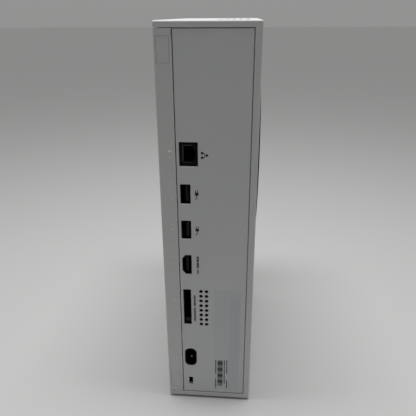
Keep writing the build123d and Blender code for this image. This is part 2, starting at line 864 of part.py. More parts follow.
def video_port():
    """The tapered shell and tongue of the video socket."""
    depth = 14.0
    x = from_base(socket_edge + video_opening[0] / 2)
    inner_edge = from_base(socket_edge + 0.4)

    def outline(grow):
        return socket_profile(video_opening, video_z, "tapered", grow)

    face, back = socket_face, socket_face - depth
    shell = along_y(outline(-0.2), back, face)
    shell -= along_y(outline(-0.65), back + 0.4, face + 1)
    for side in (-1, 1):
        z = video_z + side * 6.0
        shell += block(
            (inner_edge, from_base(board_high)), (back + 2, back + 3.5), (z - 0.7, z + 0.7)
        )
    tongue = along_y(outline(-0.7), back + 0.4, back + 3.0)
    tongue += block(
        (x - 1.0, x + 0.6), (back + 2.5, face - 1.5), (video_z - 5.8, video_z + 5.8)
    )
    for number in range(10):
        z = video_z - 4.5 + number
        tongue += block((x + 0.5, x + 0.8), (back + 2.6, face - 2.0), (z - 0.25, z + 0.25))
    return shell, tongue


def ethernet_jack():
    """The black network socket, its latch side away from the board."""
    cavity_half = 5.95
    rim_wall = 0.9
    face, back = rear_y_of(0), rear_y_of(21.0)
    jack = block(
        (from_base(board_high), from_base(26.2)),
        (back, face),
        (ethernet_z - 8.2, ethernet_z + 8.2),
    )
    jack += block(
        (from_base(13.9), from_base(24.1)),
        (face - 1, socket_face),
        (ethernet_z - cavity_half - rim_wall, ethernet_z + cavity_half + rim_wall),
    )
    cavity_back = rear_y_of(13.5)
    steps = ((14.8, 21.4, cavity_half), (21.0, 22.4, 4.0), (22.0, 23.3, 3.0))
    for low, high, half in steps:
        jack -= block(
            (from_base(low), from_base(high)),
            (cavity_back, socket_face + 1),
            (ethernet_z - half, ethernet_z + half),
        )
    return jack


def ethernet_contacts():
    """Eight sprung wires that lean off the board side of the network socket."""
    face = rear_y_of(0)
    wires = []
    for number in range(8):
        z = ethernet_z + (number - 3.5) * 1.27
        points = [
            (from_base(14.8), face - 5.0),
            (from_base(15.1), face - 5.0),
            (from_base(17.2), face - 11.5),
            (from_base(17.0), face - 13.5),
            (from_base(16.7), face - 13.5),
            (from_base(16.8), face - 11.4),
        ]
        wires.append(along_z(make_face(Polyline(*points, close=True)), z - 0.22, z + 0.22))
    return wires


def expansion_slot():
    """The deep slot for a storage card, with its row of contacts at the far end."""
    width, length = expansion_opening
    depth = 38.0
    half = length / 2
    x_span = (from_base(board_high), from_base(socket_edge + width + 0.7))
    z_span = (expansion_z - half - 1.3, expansion_z + half + 1.3)
    face, back = rear_y_of(0), rear_y_of(depth)
    slot = block(x_span, (back, face), z_span)
    slot += along_y(
        socket_profile(expansion_opening, expansion_z, grow=-0.15), face - 1, socket_face
    )
    slot -= block(
        (from_base(socket_edge + 0.55), from_base(socket_edge + width - 0.55)),
        (back + 2.0, socket_face + 1),
        (expansion_z - half + 0.5, expansion_z + half - 0.5),
    )
    for z in z_span:
        way = math.copysign(1, z - expansion_z)
        ear_x = (from_base(board_high), from_base(15.2))
        ear = block(ear_x, (back + 4, back + 12), (z, z + way * 4))
        slot += ear - rod_x(back + 8, z + way * 2, 1.0, from_base(10), from_base(20))
    return slot


def power_inlet():
    """The two-pin mains inlet: a rounded socket on the power supply's rear."""
    x = from_base(inlet_from_base)
    face, back = rear_y_of(0), rear_y_of(17.0)
    housing = along_y(
        Pos(x, inlet_z) * RectangleRounded(12.4, 20.4, 3.0), back, face
    )
    housing += along_y(inlet_profile(grow=-0.15), face - 1, socket_face)
    cavity = Pos(x, inlet_z) * RectangleRounded(7.8, 14.6, 3.6)
    housing -= along_y(cavity, back + 4.0, socket_face + 1)
    housing += along_y(
        Pos(x, inlet_z) * RectangleRounded(15.0, 26.0, 2.0), back, back + 2.4
    )
    for z in inlet_pin_heights():
        housing -= rod_y(x, z, 1.2, back - 1, back + 5)
    return housing


def inlet_pin_heights():
    return (inlet_z - 4.3, inlet_z + 4.3)


def inlet_pins():
    x = from_base(inlet_from_base)
    back = rear_y_of(17.0)
    pins = []
    for z in inlet_pin_heights():
        pin = rod_y(x, z, 1.2, back - 2.5, rear_y_of(3.2))
        pins.append(fillet(pin.edges().sort_by(Axis.Y)[-1], 0.9))
    return pins


def lock_plate():
    """The steel plate behind the security slot."""
    y = (connector_face - 1.6, connector_face)
    x = from_base(lock_from_base)
    plate = block((x - 8.0, x + 5.5), y, (lock_z - 8.0, lock_z + 9.0))
    plate -= along_y(
        Pos(x, lock_z) * RectangleRounded(*lock_opening, 0.4), y[0] - 1, y[1] + 1
    )
    return plate + block((x - 8.0, x - 6.8), (55.0, y[1]), (lock_z - 8.0, lock_z + 9.0))


# ---- front controls ------------------------------------------------------------------------
def power_button_cap():
    """The round button, dished, with a skirt and a ring cut for its lens."""
    x, z = power_button_x, power_button_z
    back = front_y + wall + 2.0
    cap = rod_y(x, z, power_button_radius, front_y - proud, back)
    cap += rod_y(x, z, power_button_radius + 1.3, front_y + wall + 0.3, back)
    cap = fillet(cap.edges().sort_by(Axis.Y)[0], 0.5)
    cap -= along_y(Pos(x, z) * power_symbol(), front_y - 1, back + 1)
    cap -= rod_y(x, z, 6.0, front_y + wall - 0.5, back + 1)
    return cap


def power_symbol(shrink=0.0):
    """A broken ring with a stroke, the common sign for power, in its own plane."""
    ring = Circle(3.9 - shrink) - Circle(3.0 + shrink)
    gap = Pos(0, 3.4) * Rectangle(2.6 + 2 * shrink, 2.4)
    stroke = Pos(0, 2.6) * Rectangle(0.9 - 2 * shrink, 3.6 - 2 * shrink)
    return ring - gap + stroke


def power_button_lens():
    """The clear plate behind the cap, whose raised sign fills the cut one."""
    x, z = power_button_x, power_button_z
    plate = rod_y(x, z, 5.9, front_y + wall - 0.5, front_y + wall + 0.7)
    return plate + along_y(
        Pos(x, z) * power_symbol(0.04), front_y - proud + 0.2, front_y + wall - 0.4
    )


def power_button_board():
    x, z = power_button_x, power_button_z
    span = (button_board_y, button_board_y + 1.2)
    board = block((x - 9.5, x + 9.5), span, (z - 10.5, z + 10.5))
    for side in (-1, 1):
        board -= rod_y(x + side * 7.2, z - side * 8.2, 1.3, -70, -60)
    return board


def power_switch():
    """The square body of the push switch on the button's board, hollow for its plunger."""
    x, z, half = power_button_x, power_button_z, 3.0
    face = button_board_y - 3.0
    body = block((x - half, x + half), (button_board_y, face), (z - half, z + half))
    body = chamfer(body.faces().sort_by(Axis.Y)[0].edges(), 0.25)
    return body - rod_y(x, z, 1.8, face - 1, button_board_y - 0.8)


def plunger(x, z, y_from, y_to, radius=1.6):
    return rod_y(x, z, radius, y_from, y_to)


def status_light():
    """Four small lamps on the button's board round the switch."""
    lamps = []
    for dx, dz in ((-4.6, 0), (4.6, 0), (0, -4.6), (0, 4.6)):
        x, z = power_button_x + dx, power_button_z + dz
        depth = (button_board_y, button_board_y - 0.7)
        lamps.append(block((x - 0.8, x + 0.8), depth, (z - 0.5, z + 0.5)))
    return lamps


def pair_button_cap():
    x = from_base(pair_button_from_base)
    cap = rod_y(x, pair_button_z, pair_button_radius, front_y + 0.15, front_y + wall + 1.6)
    cap = fillet(cap.edges().sort_by(Axis.Y)[0], 0.4)
    return cap + rod_y(
        x, pair_button_z, pair_button_radius + 1.0, front_y + wall + 0.4, front_y + wall + 1.6
    )


def front_io_board():
    """The small board that carries the front socket and the pairing switch."""
    outline = Pos(-63.6, 41.0) * RectangleRounded(14.4, 42.0, 1.0)
    board = along_x(outline, from_base(board_low), from_base(board_high))
    return board - rod_x(-60.0, 57.0, 1.5, from_base(10), from_base(14))


def pair_switch():
    """The edge switch on the front board, hollow for its plunger."""
    x, z = from_base(pair_button_from_base), pair_button_z
    body = block((x - 2.6, from_base(board_high)), (-68.4, -63.5), (z - 3.5, z + 3.5))
    return body - rod_y(x, z, 1.35, -69.0, -67.0)


# ---- power supply --------------------------------------------------------------------------
supply_y = (-54.0, 53.0)
supply_z = (10.0, 62.0)
supply_x = (from_base(6.5), from_base(50.0))


def power_supply_case():
    """The vented plastic box round the mains electronics, open at the board side."""
    thickness = 1.6
    case = block(supply_x, supply_y, supply_z)
    case = fillet(case.edges().filter_by(Axis.X), 2.0)
    case -= block(
        (supply_x[0] + 1, supply_x[1] + thickness),
        (supply_y[0] + thickness, supply_y[1] - thickness),
        (supply_z[0] + thickness, supply_z[1] - thickness),
    )
    slots = Sketch()
    for number in range(14):
        slots += Pos(supply_y[0] + 12 + number * 6.4, 36.0) * SlotOverall(34.0, 2.4, 90)
    case -= along_x(slots, supply_x[1] - 1, supply_x[1] + 3)
    case -= block((from_base(10), from_base(28)), (50, 60), (inlet_z - 12, inlet_z + 12))
    return case


def power_supply_board():
    inset = 1.9
    return block(
        (supply_x[0] - 2.0, supply_x[0] - 3.6),
        (supply_y[0] + inset, supply_y[1] - inset),
        (supply_z[0] + inset, supply_z[1] - inset),
    )


def supply_parts():
    """Transformer, filter coils and capacitors on the power supply's board."""
    level = supply_x[0] - 3.6
    parts = [
        block((level, level - 26.0), (-18.0, 12.0), (18.0, 46.0)),
        block((level, level - 20.0), (-46.0, -38.0), (20.0, 52.0)),
    ]
    parts = [chamfer(part.faces().sort_by(Axis.X)[0].edges(), 1.2) for part in parts]
    for y, z, radius, height in (
        (-28.0, 24.0, 6.5, 30.0),
        (-28.0, 44.0, 6.5, 30.0),
        (21.0, 22.0, 5.0, 22.0),
        (21.0, 34.0, 5.0, 22.0),
        (21.0, 46.0, 5.0, 22.0),
    ):
        can = rod_x(y, z, radius, level, level - height)
        parts.append(fillet(can.edges().sort_by(Axis.X)[0], 0.8))
    ring = rod_x(37.0, 22.0, 8.0, level, level - 9.0)
    ring -= rod_x(37.0, 22.0, 3.6, level + 1, level - 10)
    parts.append(fillet(ring.edges().group_by(Axis.X)[0], 1.5))
    return parts


# ---- fasteners at the rear -----------------------------------------------------------------
def shell_screws():
    """The two long screws behind the small rear covers, which hold the base on."""
    screws = []
    for height in screw_cover_heights:
        x = from_base(screw_cover_from_base)
        head_top, neck = 71.4, 69.1
        head = rod_y(x, height, screw_head_radius, neck, head_top)
        head = fillet(head.edges().sort_by(Axis.Y)[-1], 0.7)
        shank = rod_y(x, height, screw_radius - 0.15, 59.0, neck)
        star = Sketch() + [Rot(0, 0, turn) * Rectangle(2.6, 0.8) for turn in (0, 60, 120)]
        screws.append(head + shank - along_y(Pos(x, height) * star, 70.2, 72.0))
    return screws


def all_parts():
    """Every node's name with its solid or solids."""
    usb_upper, usb_upper_tongue = usb_port(usb_upper_z)
    usb_lower, usb_lower_tongue = usb_port(usb_lower_z)
    usb_front, usb_front_tongue = usb_port(front_usb_z, front=True)
    video_shell, video_tongue = video_port()
    pair_x = from_base(pair_button_from_base)
    return {
        "cover_shell": cover_shell(),
        "base_shell": base_shell(),
        "rear_panel": rear_panel(),
        "fan_grille": fan_grille(),
        "rating_label": rating_label(),
        "screw_cover_upper": screw_cover(screw_cover_heights[0]),
        "screw_cover_lower": screw_cover(screw_cover_heights[1]),
        "side_feet": side_feet(),
        "end_feet": end_feet(),
        "power_button_cap": power_button_cap(),
        "power_button_lens": power_button_lens(),
        "power_button_board": power_button_board(),
        "power_switch": power_switch(),
        "power_switch_plunger": plunger(
            power_button_x, power_button_z, front_y + wall + 0.7, -67.8
        ),
        "status_light": status_light(),
        "pair_button_cap": pair_button_cap(),
        "pair_switch": pair_switch(),
        "pair_switch_plunger": plunger(
            pair_x, pair_button_z, front_y + wall + 1.6, -68.0, radius=1.2
        ),
        "front_io_board": front_io_board(),
        "front_usb_shell": usb_front,
        "front_usb_tongue": usb_front_tongue,
        "rear_usb_shell_upper": usb_upper,
        "rear_usb_tongue_upper": usb_upper_tongue,
        "rear_usb_shell_lower": usb_lower,
        "rear_usb_tongue_lower": usb_lower_tongue,
        "video_port_shell": video_shell,
        "video_port_tongue": video_tongue,
        "ethernet_jack": ethernet_jack(),
        "ethernet_contacts": ethernet_contacts(),
        "expansion_slot": expansion_slot(),
        "power_inlet": power_inlet(),
        "inlet_pins": inlet_pins(),
        "lock_plate": lock_plate(),
        "main_board": main_board(),
        "processor": processor(),
        "memory_chips": memory_chips(),
        "voltage_coils": voltage_coils(),
        "board_capacitors": board_capacitors(),
        "battery_holder": battery_holder(),
        "clock_battery": clock_battery(),
        "ssd_module": ssd_module(),
        "wireless_card": wireless_card(),
        "antennas": antennas(),
        "upper_shield": upper_shield(),
        "lower_shield": lower_shield(),
        "heat_sink_base": heat_sink_base(),
        "heat_sink_fins": heat_sink_fins(),
        "clamp_spring": clamp_spring(),
        "clamp_screws": clamp_screws(),
        "fan_frame": fan_frame(),
        "fan_motor": fan_motor(),
        "fan_bearing": fan_bearing(),
        "fan_rotor": fan_rotor(),
        "fan_shaft": fan_shaft(),
        "rotor_magnet": rotor_magnet(),
        "power_supply_case": power_supply_case(),
        "power_supply_board": power_supply_board(),
        "supply_parts": supply_parts(),
        "shell_screws": shell_screws(),
        "board_screws": board_screws(),
    }


os.makedirs("parts", exist_ok=True)
for name, shape in all_parts().items():
    if isinstance(shape, list):
        shape = Compound(children=[solid for item in shape for solid in item.solids()])
    export_step(shape, f"parts/{name}.step")
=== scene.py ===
import math

import bmesh
import bpy
from mathutils import Matrix, Vector


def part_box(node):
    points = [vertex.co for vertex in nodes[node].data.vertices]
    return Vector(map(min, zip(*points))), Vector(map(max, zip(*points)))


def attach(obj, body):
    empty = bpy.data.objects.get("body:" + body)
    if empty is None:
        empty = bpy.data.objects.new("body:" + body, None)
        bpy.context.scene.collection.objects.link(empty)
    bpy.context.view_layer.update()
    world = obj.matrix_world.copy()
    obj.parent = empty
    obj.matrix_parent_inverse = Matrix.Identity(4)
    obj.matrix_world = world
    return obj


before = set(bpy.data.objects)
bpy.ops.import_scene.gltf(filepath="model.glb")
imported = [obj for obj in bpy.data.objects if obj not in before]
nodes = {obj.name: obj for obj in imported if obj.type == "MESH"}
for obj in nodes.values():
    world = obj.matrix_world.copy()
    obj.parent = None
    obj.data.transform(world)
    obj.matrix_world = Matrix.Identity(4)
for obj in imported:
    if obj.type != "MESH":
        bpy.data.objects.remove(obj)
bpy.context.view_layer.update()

mm = 0.001
print("frame loaded:", len(nodes), "nodes")


def linearColour(hexText):
    channels = [int(hexText[i : i + 2], 16) / 255 for i in (1, 3, 5)]
    curve = [c / 12.92 if c <= 0.04045 else ((c + 0.055) / 1.055) ** 2.4 for c in channels]
    return (*curve, 1.0)


def addNode(tree, kind, settings=None, links=None):
    node = tree.nodes.new(kind)
    for name, value in (settings or {}).items():
        if isinstance(name, str) and hasattr(node, name):
            setattr(node, name, value)
        else:
            node.inputs[name].default_value = value
    for name, source in (links or {}).items():
        tree.links.new(source, node.inputs[name])
    return node


def patternScale(sizeMm):
    return 1000 / sizeMm  # object coordinates are in metres


def blendColours(tree, factor, low, high):
    # a colour that runs from low to high as the factor goes from 0 to 1
    mix = addNode(tree, "ShaderNodeMix", {"data_type": "RGBA", 6: linearColour(low), 7: linearColour(high)},
                  {0: factor})
    return mix.outputs[2]


def edgeHighlightMask(tree, radiusMm):
    # 0 on flat ground and towards 1 where two faces meet within this radius; this mask places the painted
    # edge highlight
    rounded = addNode(tree, "ShaderNodeBevel", {"samples": 4, "Radius": radiusMm * mm})
    flat = addNode(tree, "ShaderNodeNewGeometry")
    match = addNode(tree, "ShaderNodeVectorMath", {"operation": "DOT_PRODUCT"},
                    {0: rounded.outputs["Normal"], 1: flat.outputs["Normal"]})
    mask = addNode(tree, "ShaderNodeMapRange", {"From Min": 1.0, "From Max": 0.75},
                   {"Value": match.outputs["Value"]})
    return mask.outputs["Result"]


def surface(name, look):
    # colour that varies a little, roughness that varies a little, and a fine relief, all in real sizes
    material = bpy.data.materials.new(name)
    material.use_nodes = True
    tree = material.node_tree
    shader = tree.nodes["Principled BSDF"]
    place = addNode(tree, "ShaderNodeTexCoord").outputs["Object"]
    stretch = look.get("stretch")
    if stretch:
        place = addNode(tree, "ShaderNodeMapping", {"Scale": stretch}, {"Vector": place}).outputs["Vector"]

    mottle = addNode(tree, "ShaderNodeTexNoise", {"Scale": patternScale(look["mottleMm"]), "Detail": 4.0},
                     {"Vector": place})
    colour = blendColours(tree, mottle.outputs["Fac"], look["colour"], look["mottle"])
    # edges painted in a paler colour: a painted highlight standing in for light caught by the edges
    if "paintedEdgeHighlight" in look:
        highlit = addNode(tree, "ShaderNodeMath", {"operation": "MULTIPLY", 1: look["paintedEdgeHighlightAmount"]},
                       {0: edgeHighlightMask(tree, look["paintedEdgeHighlightMm"])})
        mix = addNode(tree, "ShaderNodeMix", {"data_type": "RGBA", 7: linearColour(look["paintedEdgeHighlight"])},
                      {0: highlit.outputs["Value"], 6: colour})
        colour = mix.outputs[2]
    tree.links.new(colour, shader.inputs["Base Color"])

    grainSize = patternScale(look["grainMm"])
    grainDetail = look.get("grainDetail", 3.0)
    grain = addNode(tree, "ShaderNodeTexNoise",
                    {"Scale": grainSize, "Detail": grainDetail, "Roughness": 0.6},
                    {"Vector": place})
    low, high = look["roughness"]
    rough = addNode(tree, "ShaderNodeMapRange",
                    {"From Min": 0.3, "From Max": 0.7, "To Min": low, "To Max": high},
                    {"Value": grain.outputs["Fac"]})
    tree.links.new(rough.outputs["Result"], shader.inputs["Roughness"])
    relief = addNode(tree, "ShaderNodeBump", {"Strength": look["relief"], "Distance": look["reliefMm"] * mm},
                     {"Height": grain.outputs["Fac"]})
    tree.links.new(relief.outputs["Normal"], shader.inputs["Normal"])

    shader.inputs["Metallic"].default_value = look.get("metallic", 0.0)
    for socket, value in look.get("shader", {}).items():
        shader.inputs[socket].default_value = value
    return material


def sparkErodedAbs():
    # injection-moulded ABS from a spark-eroded tool: a dry, even satin with a grain just too fine to feel
    return surface("sparkErodedAbs", {
        "colour": "#C9C9C8", "mottle": "#C5C5C5", "mottleMm": 38.0,
        "grainMm": 0.7, "grainDetail": 4.0, "relief": 0.25, "reliefMm": 0.05, "roughness": (0.46, 0.6),
        # its edges painted paler: a painted highlight where the rounded edges would catch the light
        "paintedEdgeHighlight": "#F2F2F0", "paintedEdgeHighlightAmount": 0.5, "paintedEdgeHighlightMm": 0.6,
        "shader": {"IOR": 1.52, "Subsurface Weight": 0.04, "Subsurface Scale": 0.0015},
    })


def panelAbs():
    # the same resin in the rear plate, a shade greyer and a little rougher than the covers
    return surface("panelAbs", {
        "colour": "#C9CACA", "mottle": "#C5C6C7", "mottleMm": 30.0,
        "grainMm": 0.9, "grainDetail": 4.0, "relief": 0.3, "reliefMm": 0.05, "roughness": (0.5, 0.64),
        # its edges painted paler: a painted highlight where the rounded edges would catch the light
        "paintedEdgeHighlight": "#EEEEED", "paintedEdgeHighlightAmount": 0.4, "paintedEdgeHighlightMm": 0.4,
        "shader": {"IOR": 1.52, "Subsurface Weight": 0.04, "Subsurface Scale": 0.0015},
    })


def buttonAbs():
    # polished ABS on the buttons: smoother than the covers, with the edges painted paler, a painted
    # highlight standing in for light caught by the rounded edges
    return surface("buttonAbs", {
        "colour": "#E6E6E5", "mottle": "#E0E0DF", "mottleMm": 6.0,
        "grainMm": 0.5, "relief": 0.12, "reliefMm": 0.03, "roughness": (0.3, 0.42),
        "paintedEdgeHighlight": "#F4F4F3", "paintedEdgeHighlightAmount": 0.5, "paintedEdgeHighlightMm": 0.4,
        "shader": {"IOR": 1.52},
    })


def paleRubber():
    # thermoplastic rubber feet: matt, slightly greasy grey-white that picks up dust
    return surface("paleRubber", {
        "colour": "#D2D2D0", "mottle": "#BEBDB9", "mottleMm": 3.5,
        "grainMm": 0.6, "relief": 0.5, "reliefMm": 0.06, "roughness": (0.75, 0.92),
        "shader": {"IOR": 1.5},
    })


def blackAbs():
    # black ABS of the grille: deep charcoal with a soft spark-eroded sheen, and each hole's rim painted
    # greyer as a painted highlight
    return surface("blackAbs", {
        "colour": "#1B1B1D", "mottle": "#222224", "mottleMm": 22.0,
        "grainMm": 0.6, "grainDetail": 4.0, "relief": 0.3, "reliefMm": 0.05, "roughness": (0.42, 0.58),
        "paintedEdgeHighlight": "#39393B", "paintedEdgeHighlightAmount": 0.45, "paintedEdgeHighlightMm": 0.35,
        "shader": {"IOR": 1.52},
    })


def connectorResin():
    # black glass-filled connector resin: dull, with faint swirls where the melt flowed
    return surface("connectorResin", {
        "colour": "#08080A", "mottle": "#0E0E10", "mottleMm": 2.2,
        "grainMm": 0.3, "relief": 0.35, "reliefMm": 0.04, "roughness": (0.5, 0.7),
        "shader": {"IOR": 1.57, "Specular IOR Level": 0.2},
    })


def jackResin():
    # the network socket's harder black resin: its square edges are painted a cool grey line, a painted
    # highlight where they would catch the light
    return surface("jackResin", {
        "colour": "#050506", "mottle": "#09090B", "mottleMm": 2.2,
        "grainMm": 0.3, "relief": 0.3, "reliefMm": 0.04, "roughness": (0.55, 0.7),
        "paintedEdgeHighlight": "#1A1B1F", "paintedEdgeHighlightAmount": 0.5, "paintedEdgeHighlightMm": 0.2,
        "shader": {"IOR": 1.57, "Specular IOR Level": 0.12},
    })


def glassFilledNylon():
    # the fan's dark nylon: silky, with streaks of glass fibre along the flow
    return surface("glassFilledNylon", {
        "colour": "#1F2022", "mottle": "#2B2C2F", "mottleMm": 9.0, "stretch": (1.0, 1.0, 2.5),
        "grainMm": 0.8, "grainDetail": 5.0, "relief": 0.3, "reliefMm": 0.05, "roughness": (0.35, 0.55),
        "shader": {"IOR": 1.53},
    })


def labelFilm():
    # a printed polyester label: a cool satin white, flatter and bluer than the plastic round it
    return surface("labelFilm", {
        "colour": "#C0C1C3", "mottle": "#BCBDC1", "mottleMm": 24.0,
        "grainMm": 2.4, "relief": 0.08, "reliefMm": 0.04, "roughness": (0.34, 0.44),
        "shader": {"IOR": 1.6, "Coat Weight": 0.15, "Coat Roughness": 0.3},
    })


def printInk(name, tone, edgeTone):
    # pad-printed ink: matt and very thin, with a slightly uneven density
    return surface(name, {
        "colour": tone, "mottle": edgeTone, "mottleMm": 0.8,
        "grainMm": 0.25, "relief": 0.2, "reliefMm": 0.01, "roughness": (0.6, 0.8),
        "shader": {"IOR": 1.5},
    })


def clearPolycarbonate():
    # the button's light guide: milky clear, so that lamps behind it glow evenly
    return surface("clearPolycarbonate", {
        "colour": "#F4F7FA", "mottle": "#E9EEF3", "mottleMm": 3.0,
        "grainMm": 0.4, "relief": 0.15, "reliefMm": 0.02, "roughness": (0.22, 0.4),
        "shader": {"IOR": 1.585, "Transmission Weight": 0.55},
    })


def nickelPlate():
    # bright nickel on stamped shells: warm grey mirror with faint draw lines along the pull
    return surface("nickelPlate", {
        "colour": "#C9C6BE", "mottle": "#B4B1A9", "mottleMm": 3.0, "stretch": (1.0, 0.15, 1.0),
        "grainMm": 0.25, "relief": 0.12, "reliefMm": 0.02, "roughness": (0.16, 0.32), "metallic": 1.0,
    })


def shadeDarkNickel():
    # nickel on the socket shells and the lock plate, coloured nearly black as painted shade for the dark
    # inside of their openings, with a dim warm gleam on its folds
    return surface("shadeDarkNickel", {
        "colour": "#1C1B1B", "mottle": "#131313", "mottleMm": 3.0, "stretch": (1.0, 0.15, 1.0),
        "grainMm": 0.25, "relief": 0.12, "reliefMm": 0.02, "roughness": (0.32, 0.5), "metallic": 1.0,
    })


def goldFlash():
    # thin gold over nickel on the contact wires: rich yellow, rubbed paler where plugs slide
    return surface("goldFlash", {
        "colour": "#D9A94E", "mottle": "#E2C07A", "mottleMm": 1.1,
        "grainMm": 0.2, "relief": 0.1, "reliefMm": 0.01, "roughness": (0.15, 0.3), "metallic": 1.0,
    })


def tinnedSteel():
    # tin-plated pressed steel: soft grey with a cloudy spangle and fine rolling lines
    return surface("tinnedSteel", {
        "colour": "#B9BABB", "mottle": "#9FA1A3", "mottleMm": 7.0, "stretch": (1.0, 1.0, 0.2),
        "grainMm": 0.35, "grainDetail": 5.0, "relief": 0.2, "reliefMm": 0.02, "roughness": (0.3, 0.5),
        # its edges painted paler: a painted highlight where they would catch the light
        "metallic": 1.0, "paintedEdgeHighlight": "#DADBDC", "paintedEdgeHighlightAmount": 0.5, "paintedEdgeHighlightMm": 0.4,
    })


def zincPlate():
    # clear zinc on the screws: bluish bright grey, dulled in the recess
    return surface("zincPlate", {
        "colour": "#AEB3B8", "mottle": "#8E9398", "mottleMm": 1.6,
        "grainMm": 0.3, "relief": 0.2, "reliefMm": 0.02, "roughness": (0.25, 0.42), "metallic": 1.0,
    })


def milledCopper():
    # a face-milled copper block: salmon metal with brown tarnish starting at the edges
    return surface("milledCopper", {
        "colour": "#C07A57", "mottle": "#9A5A3C", "mottleMm": 12.0, "stretch": (1.0, 1.0, 0.25),
        "grainMm": 0.4, "relief": 0.25, "reliefMm": 0.02, "roughness": (0.24, 0.42), "metallic": 1.0,
    })


def millAluminium():
    # thin mill-finish aluminium: pale silver with rolling lines along each fin
    return surface("millAluminium", {
        "colour": "#D3D5D7", "mottle": "#BFC2C5", "mottleMm": 10.0, "stretch": (1.0, 0.12, 1.0),
        "grainMm": 0.5, "relief": 0.18, "reliefMm": 0.02, "roughness": (0.28, 0.45), "metallic": 1.0,
    })


def enamelledCopperWire():
    # varnished winding wire laid in turns 0.5 mm apart: glossy red-brown ridges
    material = surface("enamelledCopperWire", {
        "colour": "#8E4422", "mottle": "#6B3018", "mottleMm": 1.5,
        "grainMm": 0.5, "relief": 0.3, "reliefMm": 0.05, "roughness": (0.2, 0.35), "metallic": 0.6,
        "shader": {"Coat Weight": 0.6, "Coat Roughness": 0.12},
    })
    addRidges(material, 0.5, "X", 0.1)
    return material


def addRidges(material, spacingMm, axis, heightMm):
    # even ridges over the relief that is already there, such as the turns of a winding
    tree = material.node_tree
    shader = tree.nodes["Principled BSDF"]
    place = addNode(tree, "ShaderNodeTexCoord").outputs["Object"]
    turns = addNode(tree, "ShaderNodeTexWave",
                    {"bands_direction": axis, "Scale": patternScale(spacingMm) / 20},
                    {"Vector": place})
    below = shader.inputs["Normal"].links[0].from_socket
    ridges = addNode(tree, "ShaderNodeBump", {"Strength": 0.8, "Distance": heightMm * mm},
                     {"Height": turns.outputs["Fac"], "Normal": below})
    tree.links.new(ridges.outputs["Normal"], shader.inputs["Normal"])


def solderMask():
    # dark green solder mask over copper tracks: glossy, with the tracks as faint raised lines
    material = surface("solderMask", {
        "colour": "#0E3B2A", "mottle": "#0A2E22", "mottleMm": 14.0,
        "grainMm": 0.5, "relief": 0.15, "reliefMm": 0.02, "roughness": (0.22, 0.36),
        "shader": {"IOR": 1.55, "Coat Weight": 0.3, "Coat Roughness": 0.15},
    })
    tree = material.node_tree
    shader = tree.nodes["Principled BSDF"]
    place = addNode(tree, "ShaderNodeTexCoord").outputs["Object"]
    tracks = addNode(tree, "ShaderNodeTexVoronoi",
                     {"distance": "MANHATTAN", "feature": "DISTANCE_TO_EDGE", "Scale": patternScale(7.0)},
                     {"Vector": place})
    line = addNode(tree, "ShaderNodeMapRange",
                   {"From Min": 0.03, "From Max": 0.09, "To Min": 1.0, "To Max": 0.0},
                   {"Value": tracks.outputs["Distance"]})
    mask = shader.inputs["Base Color"].links[0].from_socket
    tint = addNode(tree, "ShaderNodeMix", {"data_type": "RGBA", 7: linearColour("#1F6A48")},
                   {0: line.outputs["Result"], 6: mask})
    tree.links.new(tint.outputs[2], shader.inputs["Base Color"])
    return material


def mouldedEpoxy():
    # the black epoxy of chip packages: dense charcoal with a fine filler speckle
    return surface("mouldedEpoxy", {
        "colour": "#161719", "mottle": "#242528", "mottleMm": 0.9,
        "grainMm": 0.22, "relief": 0.25, "reliefMm": 0.02, "roughness": (0.5, 0.7),
        "shader": {"IOR": 1.58},
    })


def polishedSilicon():
    # bare polished silicon: a dark blue-grey mirror
    return surface("polishedSilicon", {
        "colour": "#3A434F", "mottle": "#2B313B", "mottleMm": 5.0,
        "grainMm": 0.3, "relief": 0.05, "reliefMm": 0.01, "roughness": (0.08, 0.18), "metallic": 0.8,
    })


def pressedFerrite():
    # pressed iron powder: matt slate grey with a gritty skin
    return surface("pressedFerrite", {
        "colour": "#3B3C3F", "mottle": "#2C2D2F", "mottleMm": 1.3,
        "grainMm": 0.3, "relief": 0.6, "reliefMm": 0.05, "roughness": (0.7, 0.88),
        "shader": {"IOR": 1.6},
    })


def capacitorCan():
    # drawn aluminium cans: bright satin metal
    return surface("capacitorCan", {
        "colour": "#C4C7CB", "mottle": "#A9ADB2", "mottleMm": 2.0, "stretch": (0.2, 1.0, 1.0),
        "grainMm": 0.25, "relief": 0.12, "reliefMm": 0.02, "roughness": (0.2, 0.34), "metallic": 1.0,
    })


def varnishedWinding():
    # transformers under yellow tape and varnish: amber, glossy, in laid turns
    material = surface("varnishedWinding", {
        "colour": "#A88B2E", "mottle": "#7D651F", "mottleMm": 5.0,
        "grainMm": 0.6, "relief": 0.3, "reliefMm": 0.05, "roughness": (0.25, 0.45),
        "shader": {"IOR": 1.55, "Coat Weight": 0.4, "Coat Roughness": 0.2},
    })
    addRidges(material, 0.8, "Z", 0.08)
    return material


